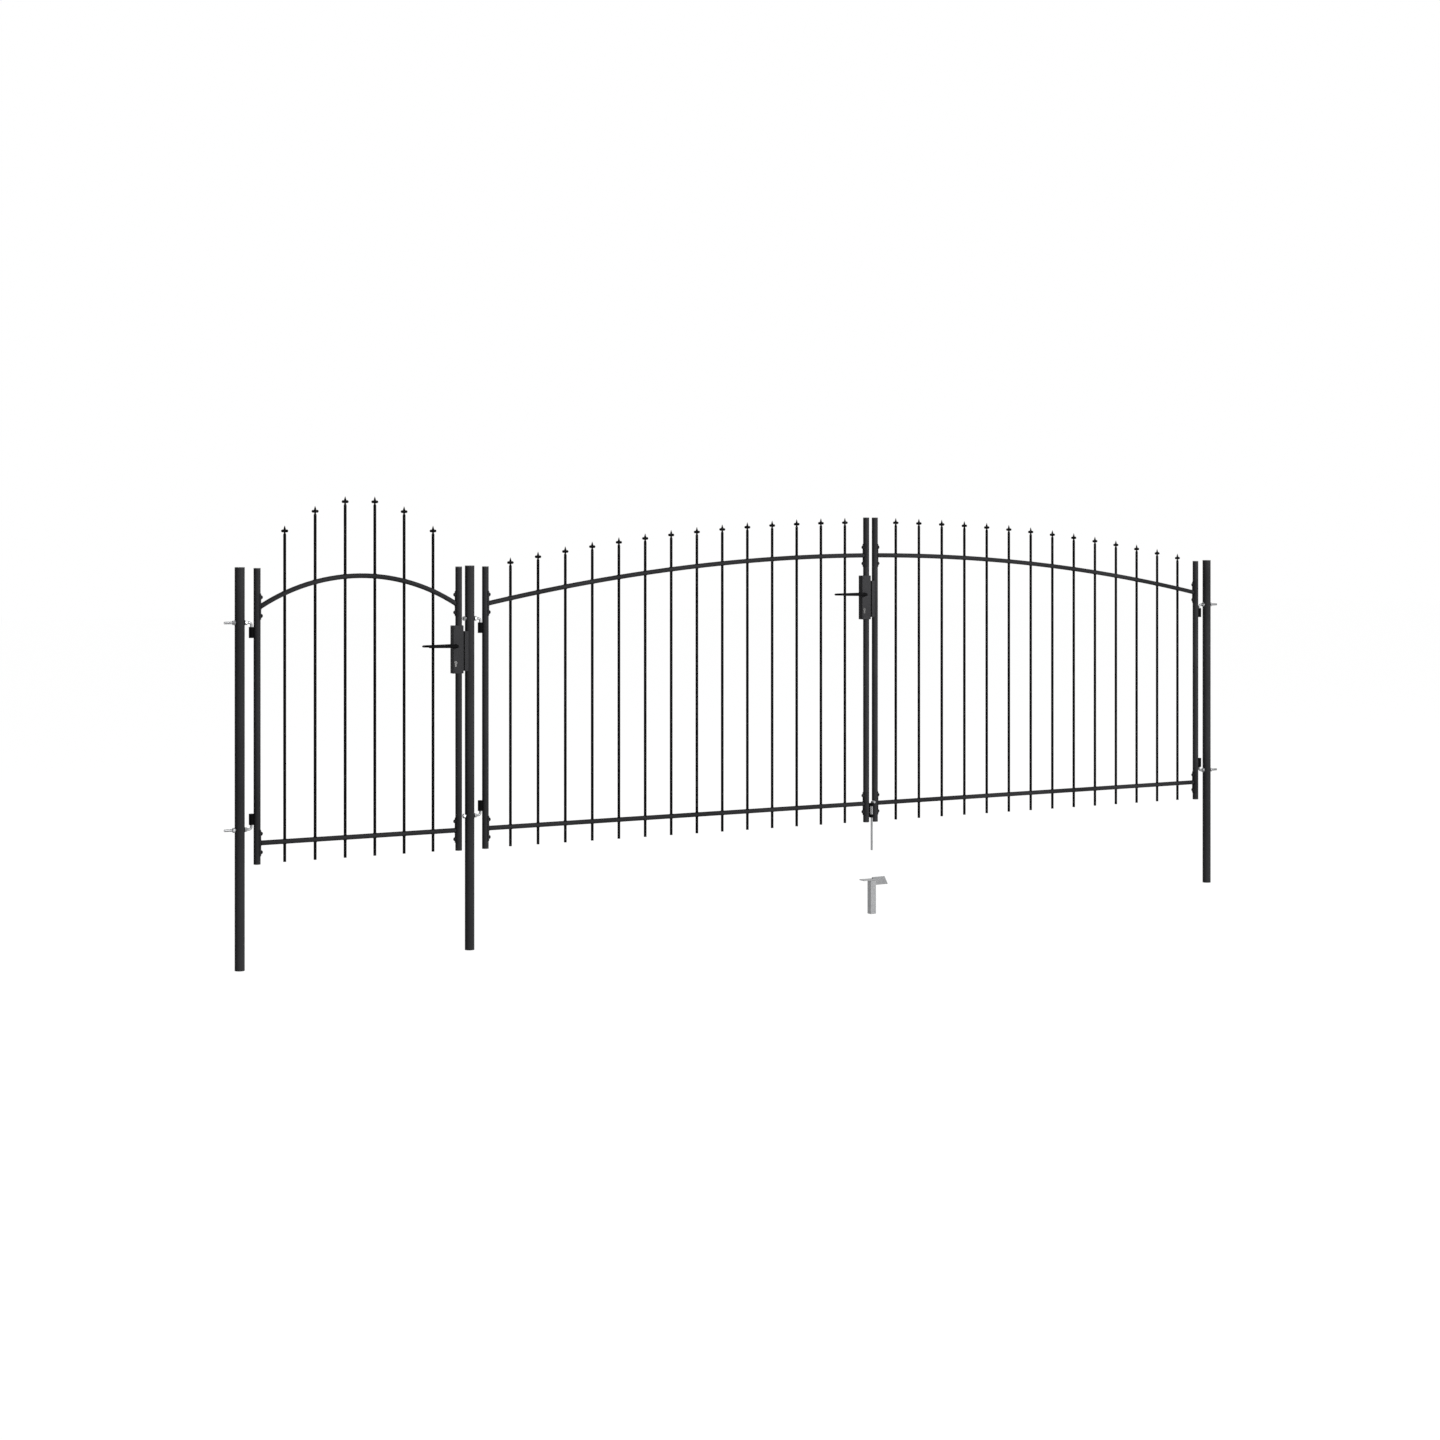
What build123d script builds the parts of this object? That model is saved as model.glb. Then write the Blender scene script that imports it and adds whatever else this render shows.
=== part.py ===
from build123d import *
import math
import os

# Garden and driveway gate: a one-metre pedestrian leaf beside a four-metre pair of leaves.
# Millimetres. X runs along the gate, Y away from the side with the drop bolt, Z up.
# The origin is the centre of the middle post's foot.

# Posts
POST_D = 40.0
POST_WALL = 2.0
POST_HEIGHT = 1600.0
POST_FOOT = 4.0

# Stiles, rails and pickets
STILE_D = 28.0
STILE_WALL = 1.5
STILE_BELOW_POST_TOP = 4.0
RAIL_D = 20.0
PICKET_D = 12.0
PICKET_PITCH = 128.8
END_PITCH = 115.5
PEDESTRIAN_PICKETS = 6
DRIVE_PICKETS = 14
LEAF_BOTTOM = 420.0
BOTTOM_RAIL_RISE = 82.0

# Arched top rails and the line of the spear points
PEDESTRIAN_CROWN_BELOW_POST_TOP = 35.5
PEDESTRIAN_RADIUS = 810.0
PEDESTRIAN_TIP_RISE = 328.5
PEDESTRIAN_TIP_FALL = 124.0
DRIVE_CROWN_ABOVE_POST_TOP = 36.0
DRIVE_RADIUS = 9650.0
DRIVE_TIP_RISE = 172.0
MEETING_STILE_RISE = 170.0

# Saddles that join the rails to the stiles
SADDLE_THICKNESS = 2.5
SADDLE_HEIGHT = 104.0
SADDLE_WRAP = 4.0

# Spear points
SPEAR_HEIGHT = 46.0
SPEAR_SOCKET = 12.0
SPEAR_THICKNESS = 9.0
SPEAR_LOBE_D = 12.0
SPEAR_LOBE_OFFSET = 9.0
SPEAR_LOBE_BELOW_TIP = 22.0
SPEAR_BUD_WIDTH = 12.0
SPEAR_WAIST = 8.0
SPEAR_POINT = 1.2
SPEAR_EDGE = 1.5

# Hinges
PIN_FROM_POST = 28.0
PIN_D = 10.0
PIN_CLEARANCE = 0.05
KNUCKLE_D = 20.0
KNUCKLE_LENGTH = 44.0
KNUCKLE_WEB = 7.0
UPPER_HOOK_BELOW_POST_TOP = 218.0
LOWER_HOOK_ABOVE_LEAF_BOTTOM = 139.0
HOOK_TO_KNUCKLE = 17.5
HOOK_BEND = 10.0
HOOK_TAIL_PAST_POST = 44.0
HOOK_TAIL_PAST_MIDDLE_POST = 10.5
HOOK_HOLE_CLEARANCE = 0.2
PIN_SHORT_OF_KNUCKLE = 4.0
NUT_FLATS = 17.0
NUT_THICKNESS = 8.0
WASHER_D = 21.0
WASHER_THICKNESS = 1.5
SEAT_GAP = 0.1

# Plugs in the tube ends
PLUG_THICKNESS = 3.0
PLUG_SPIGOT = 12.0
PLUG_SPIGOT_CLEARANCE = 0.1
PLUG_EDGE = 1.2

# Clear spaces between the leaves and beside the middle post
LATCH_SPACE = 15.8
MEETING_SPACE = 19.5

# Locks and levers
LOCK_LEFT = 31.0
LOCK_SIDE = 2.0
LOCK_HEIGHT = 200.0
LOCK_BELOW_LEVER = 114.0
LOCK_EDGE = 2.0
KEEP_GAP = 5.3
KEEP_HEIGHT = 166.0
KEEP_BELOW_LEVER = 104.0
POST_KEEP_REACH = 8.0
STILE_KEEP_REACH = 4.0
SPINDLE_OFFSET = 21.0
SPINDLE_D = 10.0
PEDESTRIAN_LOCK_BELOW_RAIL = 82.0
MAIN_LOCK_BELOW_RAIL = 92.0
ROSE_D = 18.0
ROSE_GAP = 0.5
LEVER_REACH = 129.0
LEVER_STAND_OFF = 33.0
LEVER_WIDTH = 10.0
LEVER_ROOT_HEIGHT = 14.0
LEVER_TIP_HEIGHT = 9.0
KEY_BELOW_LEVER = 68.0
KEY_BARREL_D = 13.0
KEY_TAIL_D = 8.0
KEY_TAIL_DROP = 14.0
KEY_PROUD = 2.0
FIT_GAP = 0.05

# Drop bolt and its guide on the left leaf
BOLT_D = 10.0
BOLT_X = 19.5
BOLT_Y = -17.0
BOLT_BELOW_LEAF = 130.0
BOLT_ARM = 24.0
BOLT_BEND = 6.0
EYE_D = 15.0
EYE_HEIGHT = 14.0
EYE_CLEARANCE = 0.1
EYE_ABOVE_LEAF_BOTTOM = 85.0
EYE_SPACING = 52.0
GUIDE_PLATE = 3.0
GUIDE_CLEARANCE = 0.9
BOLT_REST_GAP = 0.3

# Ground socket for the drop bolt
SOCKET_TUBE = 28.0
SOCKET_WALL = 2.0
SOCKET_HEIGHT = 158.0
SOCKET_PLATE = 4.0
SOCKET_PLATE_WIDTH = 40.0
SOCKET_LEFT_REACH = 54.0
SOCKET_RIGHT_REACH = 78.0
SOCKET_TWIST_START = 9.0
SOCKET_TWIST = 50.0
SOCKET_WING_DROP = 6.0
SOCKET_HOLE_D = 16.0

# Worked-out places
POST_R = POST_D / 2
STILE_R = STILE_D / 2
RAIL_R = RAIL_D / 2
PICKET_R = PICKET_D / 2
PIN_R = PIN_D / 2
KNUCKLE_R = KNUCKLE_D / 2
PIN_OFFSET = POST_R + PIN_FROM_POST
LOCK_DEPTH = STILE_D + 2 * LOCK_SIDE
PIN_TO_STILE = KNUCKLE_R + STILE_R
CUT_PAST = SADDLE_THICKNESS
PEDESTRIAN_SPAN = (PEDESTRIAN_PICKETS - 1) * PICKET_PITCH + 2 * END_PITCH
DRIVE_SPAN = (DRIVE_PICKETS - 1) * PICKET_PITCH + 2 * END_PITCH

MIDDLE_POST_X = 0.0
PEDESTRIAN_LOCK_X = MIDDLE_POST_X - POST_R - LATCH_SPACE - STILE_R
PEDESTRIAN_HINGE_X = PEDESTRIAN_LOCK_X - PEDESTRIAN_SPAN
PEDESTRIAN_PIN_X = PEDESTRIAN_HINGE_X - PIN_TO_STILE
LEFT_POST_X = PEDESTRIAN_PIN_X - PIN_OFFSET
LEFT_PIN_X = MIDDLE_POST_X + PIN_OFFSET
LEFT_HINGE_X = LEFT_PIN_X + PIN_TO_STILE
LEFT_LOCK_X = LEFT_HINGE_X + DRIVE_SPAN
RIGHT_MEETING_X = LEFT_LOCK_X + STILE_D + MEETING_SPACE
RIGHT_HINGE_X = RIGHT_MEETING_X + DRIVE_SPAN
RIGHT_PIN_X = RIGHT_HINGE_X + PIN_TO_STILE
RIGHT_POST_X = RIGHT_PIN_X + PIN_OFFSET

BOTTOM_RAIL_Z = LEAF_BOTTOM + BOTTOM_RAIL_RISE
PEDESTRIAN_CROWN = POST_HEIGHT - PEDESTRIAN_CROWN_BELOW_POST_TOP
DRIVE_CROWN = POST_HEIGHT + DRIVE_CROWN_ABOVE_POST_TOP
PEDESTRIAN_TIP_CROWN = PEDESTRIAN_CROWN + PEDESTRIAN_TIP_RISE
UPPER_HOOK_HEIGHT = POST_HEIGHT - UPPER_HOOK_BELOW_POST_TOP
LOWER_HOOK_HEIGHT = LEAF_BOTTOM + LOWER_HOOK_ABOVE_LEAF_BOTTOM
EYE_TOP = LEAF_BOTTOM + EYE_ABOVE_LEAF_BOTTOM
BOLT_BOTTOM = LEAF_BOTTOM - BOLT_BELOW_LEAF
SIDE_STILE_TOP = POST_HEIGHT - STILE_BELOW_POST_TOP
MEETING_STILE_TOP = DRIVE_CROWN + MEETING_STILE_RISE
PEDESTRIAN_ARCH_X = (PEDESTRIAN_HINGE_X + PEDESTRIAN_LOCK_X) / 2
DRIVE_ARCH_X = (LEFT_LOCK_X + RIGHT_MEETING_X) / 2
DROP_BOLT_X = LEFT_LOCK_X + BOLT_X


def arch_height(x, arch_x, crown, radius):
    """Height of an arched rail's centre line at x."""
    return crown - radius + math.sqrt(radius**2 - (x - arch_x) ** 2)


PEDESTRIAN_RAIL_END = arch_height(
    PEDESTRIAN_LOCK_X, PEDESTRIAN_ARCH_X, PEDESTRIAN_CROWN, PEDESTRIAN_RADIUS
)
DRIVE_RAIL_END = arch_height(LEFT_LOCK_X, DRIVE_ARCH_X, DRIVE_CROWN, DRIVE_RADIUS)
LEVER_BELOW_CASE_TOP = LOCK_HEIGHT - LOCK_BELOW_LEVER
PEDESTRIAN_LEVER_HEIGHT = PEDESTRIAN_RAIL_END - PEDESTRIAN_LOCK_BELOW_RAIL - LEVER_BELOW_CASE_TOP
MAIN_LEVER_HEIGHT = DRIVE_RAIL_END - MAIN_LOCK_BELOW_RAIL - LEVER_BELOW_CASE_TOP


def rod(x, y, z_low, z_high, radius):
    """An upright round bar."""
    return Pos(x, y, z_low) * Cylinder(
        radius, z_high - z_low, align=(Align.CENTER, Align.CENTER, Align.MIN)
    )


def cross_rod(x_low, x_high, y, z, radius):
    """A round bar along X."""
    return Pos(x_low, y, z) * Rot(0, 90, 0) * Cylinder(
        radius, x_high - x_low, align=(Align.CENTER, Align.CENTER, Align.MIN)
    )


def block(x_low, x_high, y_low, y_high, z_low, z_high):
    """A box between two corners."""
    return Pos(x_low, y_low, z_low) * Box(
        x_high - x_low, y_high - y_low, z_high - z_low, align=(Align.MIN, Align.MIN, Align.MIN)
    )


def one_solid(shape):
    """The single solid that a fused shape holds."""
    solids = shape.solids()
    if len(solids) != 1:
        raise ValueError("expected one solid, found " + str(len(solids)))
    return solids[0]


def save(name, *solids):
    """Writes one node, as a solid or as several that don't touch."""
    shape = solids[0] if len(solids) == 1 else Compound(children=list(solids))
    export_step(shape, os.path.join("parts", name + ".step"))


# Posts

def make_post(x):
    """A tube with a closed foot, drilled through for its two hinge hooks."""
    post = rod(x, 0, 0, POST_HEIGHT, POST_R)
    post -= rod(x, 0, POST_FOOT, POST_HEIGHT, POST_R - POST_WALL)
    for height in (UPPER_HOOK_HEIGHT, LOWER_HOOK_HEIGHT):
        post -= cross_rod(x - POST_D, x + POST_D, 0, height, PIN_R + HOOK_HOLE_CLEARANCE)
    return one_solid(post)


def make_plug(x, z_end, tube_d, tube_wall, upward):
    """A push-in plug: a disc with a rounded rim on a spigot inside the tube."""
    disc = rod(x, 0, 0, PLUG_THICKNESS, tube_d / 2)
    disc = fillet(disc.edges().sort_by(Axis.Z)[-1], PLUG_EDGE)
    spigot_r = tube_d / 2 - tube_wall - PLUG_SPIGOT_CLEARANCE
    plug = disc + rod(x, 0, -PLUG_SPIGOT, 0, spigot_r)
    if not upward:
        plug = mirror(plug, Plane.XY)
    return one_solid(Pos(0, 0, z_end) * plug)


# Hinges

def make_hook(post_x, side, height, points_up, tail):
    """A threaded rod through the post, bent into an upright hinge pin on the given side of the post."""
    turn = 1 if points_up else -1
    pin_x = post_x + side * PIN_OFFSET
    pin_length = HOOK_TO_KNUCKLE + KNUCKLE_LENGTH - PIN_SHORT_OF_KNUCKLE
    start = (post_x - side * (POST_R + tail), 0, height)
    corner_in = (pin_x - side * HOOK_BEND, 0, height)
    corner_out = (pin_x, 0, height + turn * HOOK_BEND)
    end = (pin_x, 0, height + turn * pin_length)
    route = Line(start, corner_in)
    route += TangentArc(corner_in, corner_out, tangent=(side, 0, 0))
    route += Line(corner_out, end)
    section = Plane(origin=start, z_dir=(side, 0, 0)) * Circle(PIN_R)
    return one_solid(sweep(section, path=route))


def make_nut(x_face, direction, height):
    """A washer and nut, bored for the hook's rod, whose flat face stands at x_face."""
    across = NUT_FLATS / math.sqrt(3)
    facing = Plane(origin=(x_face, 0, height), x_dir=(0, 0, 1), z_dir=(direction, 0, 0))
    washer = extrude(facing * Circle(WASHER_D / 2), WASHER_THICKNESS)
    nut = extrude(
        facing.offset(WASHER_THICKNESS) * RegularPolygon(across, 6), NUT_THICKNESS
    )
    bore_r = PIN_R + FIT_GAP
    both = washer + nut
    both -= cross_rod(x_face - POST_D, x_face + POST_D, 0, height, bore_r)
    return one_solid(both)


def hooks_and_nuts(post_x, side, tail):
    """Both hooks of a post and the nuts that clamp them to it."""
    hooks = [
        make_hook(post_x, side, UPPER_HOOK_HEIGHT, False, tail),
        make_hook(post_x, side, LOWER_HOOK_HEIGHT, True, tail),
    ]
    nuts = []
    for height in (UPPER_HOOK_HEIGHT, LOWER_HOOK_HEIGHT):
        for direction in (-1, 1):
            nuts.append(make_nut(post_x + direction * (POST_R + SEAT_GAP), direction, height))
    return hooks, nuts


def make_knuckles(pin_x, stile_x):
    """The two tubes on a hinge stile that turn on the hook pins, each with its weld web."""
    low_face = {
        "upper": UPPER_HOOK_HEIGHT - HOOK_TO_KNUCKLE - KNUCKLE_LENGTH,
        "lower": LOWER_HOOK_HEIGHT + HOOK_TO_KNUCKLE,
    }
    knuckles = []
    for z_low in low_face.values():
        z_high = z_low + KNUCKLE_LENGTH
        knuckle = rod(pin_x, 0, z_low, z_high, KNUCKLE_R)
        knuckle += block(
            min(pin_x, stile_x), max(pin_x, stile_x),
            -KNUCKLE_WEB / 2, KNUCKLE_WEB / 2, z_low, z_high,
        )
        knuckle -= rod(stile_x, 0, z_low - CUT_PAST, z_high + CUT_PAST, STILE_R)
        knuckle -= rod(pin_x, 0, z_low - CUT_PAST, z_high + CUT_PAST, PIN_R + PIN_CLEARANCE)
        knuckles.append(one_solid(knuckle))
    return knuckles


# Leaves

def make_stile(x, z_top):
    """An upright tube of a leaf, from the leaf's lower edge to its own top."""
    stile = rod(x, 0, LEAF_BOTTOM, z_top, STILE_R)
    stile -= rod(x, 0, LEAF_BOTTOM, z_top, STILE_R - STILE_WALL)
    return one_solid(stile)


def arched_rail(x_low, x_high, arch_x, crown, radius):
    """A round bar bent to a circle in the gate's plane."""
    angle_low = math.degrees(math.asin((x_low - arch_x) / radius))
    angle_high = math.degrees(math.asin((x_high - arch_x) / radius))
    centre = (arch_x, 0, crown - radius)
    start = (x_low, 0, arch_height(x_low, arch_x, crown, radius))
    along = (math.cos(math.radians(angle_low)), 0, -math.sin(math.radians(angle_low)))
    section = Plane(origin=start, z_dir=along) * Circle(RAIL_R)
    return revolve(section, Axis(centre, (0, 1, 0)), angle_high - angle_low)


def saddle(stile_x, rail_z, inner_side):
    """Half a disc around the stile, on the side that the rail comes from. The stile is cut from it later."""
    outer_r = STILE_R + SADDLE_THICKNESS
    z_low = rail_z - SADDLE_HEIGHT / 2
    z_high = rail_z + SADDLE_HEIGHT / 2
    near = stile_x + inner_side * SADDLE_WRAP
    far = stile_x + inner_side * (outer_r + CUT_PAST)
    keep_side = block(min(near, far), max(near, far), -outer_r, outer_r, z_low, z_high)
    return rod(stile_x, 0, z_low, z_high, outer_r) & keep_side


def half_turn(shape, x):
    """The same shape facing the other way, turned about an upright line at x."""
    return Pos(x, 0, 0) * Rot(0, 0, 180) * Pos(-x, 0, 0) * shape


def picket_places(x_low, count):
    """Where a leaf's pickets stand."""
    return [x_low + END_PITCH + i * PICKET_PITCH for i in range(count)]


def make_panel(x_low, x_high, arch, tips):
    """Rails with the pickets through them and a saddle at each end. arch is its centre, crown and radius."""
    arch_x, crown, radius = arch
    rail_low = x_low + STILE_R / 2
    rail_high = x_high - STILE_R / 2
    bottom = cross_rod(rail_low, rail_high, 0, BOTTOM_RAIL_Z, RAIL_R)
    top = arched_rail(rail_low, rail_high, arch_x, crown, radius)
    for stile_x, side in ((x_low, 1), (x_high, -1)):
        top_z = arch_height(stile_x + side * STILE_R, arch_x, crown, radius)
        bottom += saddle(stile_x, BOTTOM_RAIL_Z, side)
        top += saddle(stile_x, top_z, side)
    for stile_x in (x_low, x_high):
        stile = rod(stile_x, 0, 0, crown + SADDLE_HEIGHT, STILE_R)
        bottom -= stile
        top -= stile
    pickets = [rod(x, 0, LEAF_BOTTOM, tip - SPEAR_HEIGHT, PICKET_R) for x, tip in tips]
    return one_solid(bottom + [top] + pickets)


def make_spear(x, tip):
    """A cast point: a socket on the picket under a flat trefoil of two round lobes and a pointed bud."""
    lobe_z = SPEAR_HEIGHT - SPEAR_LOBE_BELOW_TIP
    shoulder = (SPEAR_BUD_WIDTH / 2, lobe_z + SPEAR_LOBE_D / 4)
    point = (SPEAR_POINT / 2, SPEAR_HEIGHT)
    belly = ((2 * shoulder[0] + point[0]) / 3, (shoulder[1] + point[1]) / 2)
    half = Polyline(
        point, (0, SPEAR_HEIGHT), (0, SPEAR_SOCKET / 2),
        (PICKET_R - SPEAR_EDGE, SPEAR_SOCKET / 2), (SPEAR_WAIST / 2, SPEAR_SOCKET), shoulder,
    )
    half += ThreePointArc(shoulder, belly, point)
    flat = make_face(half)
    flat += mirror(flat, Plane.YZ)
    for side in (-1, 1):
        flat += Pos(side * SPEAR_LOBE_OFFSET, lobe_z) * Circle(SPEAR_LOBE_D / 2)
    spear = extrude(Plane.XZ * flat, SPEAR_THICKNESS / 2, both=True)
    spear += rod(0, 0, 0, SPEAR_SOCKET, PICKET_R)
    return one_solid(Pos(x, 0, tip - SPEAR_HEIGHT) * spear)


def pedestrian_tips():
    """Picket places and tip heights of the pedestrian leaf."""
    places = picket_places(PEDESTRIAN_HINGE_X, PEDESTRIAN_PICKETS)
    outermost = places[-1] - PEDESTRIAN_ARCH_X
    tips = []
    for x in places:
        fall = PEDESTRIAN_TIP_FALL * ((x - PEDESTRIAN_ARCH_X) / outermost) ** 2
        tips.append((x, PEDESTRIAN_TIP_CROWN - fall))
    return tips


def drive_tips(x_low):
    """Picket places and tip heights of a drive leaf."""
    tips = []
    for x in picket_places(x_low, DRIVE_PICKETS):
        rail = arch_height(x, DRIVE_ARCH_X, DRIVE_CROWN, DRIVE_RADIUS)
        tips.append((x, rail + DRIVE_TIP_RISE))
    return tips


# Locks

def make_lock_case(stile_x, lever_z):
    """The lock box that the lock stile passes through."""
    z_low = lever_z - LOCK_BELOW_LEVER
    case = block(
        stile_x - LOCK_LEFT, stile_x + STILE_R + LOCK_EDGE,
        -LOCK_DEPTH / 2, LOCK_DEPTH / 2, z_low, z_low + LOCK_HEIGHT,
    )
    case = fillet(case.edges(), LOCK_EDGE)
    case -= rod(stile_x, 0, z_low - CUT_PAST, z_low + LOCK_HEIGHT + CUT_PAST, STILE_R)
    spindle_x = stile_x - SPINDLE_OFFSET
    case -= across(spindle_x, lever_z, SPINDLE_D / 2 + FIT_GAP, LOCK_DEPTH)
    case -= barrel_shape(spindle_x, lever_z - KEY_BELOW_LEVER, LOCK_DEPTH, FIT_GAP)
    return one_solid(case)


def across(x, z, radius, length):
    """A round bar along Y, centred on the gate's plane."""
    return Pos(x, 0, z) * Rot(90, 0, 0) * Cylinder(radius, length)


def barrel_shape(x, z, length, grow):
    """The outline of a key barrel: a round body over a narrower tail."""
    shape = across(x, z, KEY_BARREL_D / 2 + grow, length)
    tail_r = KEY_TAIL_D / 2 + grow
    shape += across(x, z - KEY_TAIL_DROP, tail_r, length)
    shape += block(x - tail_r, x + tail_r, -length / 2, length / 2, z - KEY_TAIL_DROP, z)
    return shape


def make_key_barrel(stile_x, lever_z):
    """The key barrel, a little proud of the case on both faces."""
    length = LOCK_DEPTH + 2 * KEY_PROUD
    return one_solid(barrel_shape(stile_x - SPINDLE_OFFSET, lever_z - KEY_BELOW_LEVER, length, 0))


def make_levers(stile_x, lever_z):
    """The spindle with a lever on each face of the lock, both pointing to the hinges."""
    x = stile_x - SPINDLE_OFFSET
    levers = across(x, lever_z, SPINDLE_D / 2, 2 * LEVER_STAND_OFF)
    rose_start = LOCK_DEPTH / 2 + ROSE_GAP
    outline = Polyline(
        (0, LEVER_ROOT_HEIGHT / 2),
        (-LEVER_REACH + LEVER_TIP_HEIGHT / 2, LEVER_TIP_HEIGHT / 2),
        (-LEVER_REACH + LEVER_TIP_HEIGHT / 2, -LEVER_TIP_HEIGHT / 2),
        (0, -LEVER_ROOT_HEIGHT / 2),
        close=True,
    )
    for side in (-1, 1):
        inner = side * (LEVER_STAND_OFF - LEVER_WIDTH / 2)
        outer = side * (LEVER_STAND_OFF + LEVER_WIDTH / 2)
        y_low, y_high = min(inner, outer), max(inner, outer)
        neck_y = (side * rose_start + inner) / 2
        levers += Pos(0, neck_y, 0) * across(x, lever_z, ROSE_D / 2, abs(inner) - rose_start)
        grip = Plane(origin=(x, y_high, lever_z), x_dir=(1, 0, 0), z_dir=(0, -1, 0))
        levers += extrude(grip * make_face(outline), y_high - y_low)
        middle = (y_low + y_high) / 2
        levers += Pos(0, middle, 0) * across(x, lever_z, LEVER_ROOT_HEIGHT / 2, LEVER_WIDTH)
        tip_x = x - LEVER_REACH + LEVER_TIP_HEIGHT / 2
        levers += Pos(0, middle, 0) * across(tip_x, lever_z, LEVER_TIP_HEIGHT / 2, LEVER_WIDTH)
    return one_solid(levers)


def make_keep(stile_x, lever_z, support_x, support_r, reach):
    """The keep facing the lock, cut to lie on the tube that carries it."""
    left = stile_x + STILE_R + LOCK_EDGE + KEEP_GAP
    right = support_x - support_r + reach
    z_low = lever_z - KEEP_BELOW_LEVER
    keep = block(left, right, -LOCK_DEPTH / 2, LOCK_DEPTH / 2, z_low, z_low + KEEP_HEIGHT)
    keep = fillet(keep.edges().filter_by(Axis.Y), LOCK_EDGE)
    keep -= rod(support_x, 0, z_low - CUT_PAST, z_low + KEEP_HEIGHT + CUT_PAST, support_r)
    return one_solid(keep)


# Drop bolt

def make_drop_bolt():
    """A bar in two eyes, its top bent towards the front as a lifting handle that rests on the upper eye."""
    radius = BOLT_D / 2
    bend_z = EYE_TOP + BOLT_REST_GAP
    arm_z = bend_z + BOLT_BEND
    low = (DROP_BOLT_X, BOLT_Y, BOLT_BOTTOM)
    bend_start = (DROP_BOLT_X, BOLT_Y, bend_z)
    bend_end = (DROP_BOLT_X, BOLT_Y - BOLT_BEND, arm_z)
    arm_end = (DROP_BOLT_X, BOLT_Y - BOLT_ARM, arm_z)
    route = Line(low, bend_start)
    route += TangentArc(bend_start, bend_end, tangent=(0, 0, 1))
    route += Line(bend_end, arm_end)
    return one_solid(sweep(Plane(origin=low, z_dir=(0, 0, 1)) * Circle(radius), path=route))


def make_guide():
    """Two eyes on a plate that stands on the stile, along the line from the stile to the bolt."""
    distance = math.hypot(BOLT_X, BOLT_Y)
    angle = math.degrees(math.atan2(BOLT_Y, BOLT_X))
    z_low = EYE_TOP - EYE_SPACING - EYE_HEIGHT
    plate_end = distance - BOLT_D / 2 - GUIDE_CLEARANCE
    guide = block(0, plate_end, -GUIDE_PLATE / 2, GUIDE_PLATE / 2, z_low, EYE_TOP)
    for eye_low in (z_low, EYE_TOP - EYE_HEIGHT):
        guide += rod(distance, 0, eye_low, eye_low + EYE_HEIGHT, EYE_D / 2)
    guide -= rod(0, 0, z_low - CUT_PAST, EYE_TOP + CUT_PAST, STILE_R)
    guide -= rod(distance, 0, z_low - CUT_PAST, EYE_TOP + CUT_PAST, BOLT_D / 2 + EYE_CLEARANCE)
    return one_solid(Pos(LEFT_LOCK_X, 0, 0) * Rot(0, 0, angle) * guide)


def make_socket():
    """The ground socket: a square tube under a drilled strip, its right wing twisted down to the front."""
    half = SOCKET_TUBE / 2
    inner = half - SOCKET_WALL
    plate_low = SOCKET_HEIGHT - SOCKET_PLATE
    socket = block(-half, half, -half, half, 0, plate_low)
    socket += block(
        -SOCKET_LEFT_REACH, SOCKET_TWIST_START + SOCKET_PLATE,
        -SOCKET_PLATE_WIDTH / 2, SOCKET_PLATE_WIDTH / 2, plate_low, SOCKET_HEIGHT,
    )
    wing = Pos(SOCKET_TWIST_START, 0, plate_low - SOCKET_WING_DROP) * Rot(SOCKET_TWIST, 0, 0) * Box(
        SOCKET_RIGHT_REACH - SOCKET_TWIST_START, SOCKET_PLATE_WIDTH, SOCKET_PLATE,
        align=(Align.MIN, Align.CENTER, Align.CENTER),
    )
    socket += wing
    socket -= block(-inner, inner, -inner, inner, 0, plate_low)
    socket -= rod(0, 0, 0, SOCKET_HEIGHT + SOCKET_PLATE_WIDTH, SOCKET_HOLE_D / 2)
    return one_solid(Pos(DROP_BOLT_X, BOLT_Y, 0) * socket)


# Writing the nodes

def save_posts():
    posts = {"left": LEFT_POST_X, "middle": MIDDLE_POST_X, "right": RIGHT_POST_X}
    plugs = []
    nuts = []
    for name, x in posts.items():
        side = -1 if name == "right" else 1
        tail = HOOK_TAIL_PAST_MIDDLE_POST if name == "middle" else HOOK_TAIL_PAST_POST
        save(name + "_post", make_post(x))
        plugs.append(make_plug(x, POST_HEIGHT, POST_D, POST_WALL, True))
        hooks, post_nuts = hooks_and_nuts(x, side, tail)
        save(name + "_post_hinge_hooks", *hooks)
        nuts += post_nuts
    save("post_caps", *plugs)
    save("hinge_hook_nuts", *nuts)
    save("pedestrian_keep", make_keep(
        PEDESTRIAN_LOCK_X, PEDESTRIAN_LEVER_HEIGHT, MIDDLE_POST_X, POST_R, POST_KEEP_REACH))
    save("ground_socket", make_socket())


def save_leaf(name, stiles, panel, tips, pin_x, hinge_x):
    """One leaf's stiles, plugs, panel, spears and knuckles. stiles is its node names, places and tops."""
    plugs = []
    for stile_name, x, z_top in stiles:
        save(name + "_" + stile_name, make_stile(x, z_top))
        plugs.append(make_plug(x, z_top, STILE_D, STILE_WALL, True))
        plugs.append(make_plug(x, LEAF_BOTTOM, STILE_D, STILE_WALL, False))
    save(name + "_stile_plugs", *plugs)
    save(name + "_panel", panel)
    save(name + "_spears", *[make_spear(x, tip) for x, tip in tips])
    save(name + "_knuckles", *make_knuckles(pin_x, hinge_x))


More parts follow.
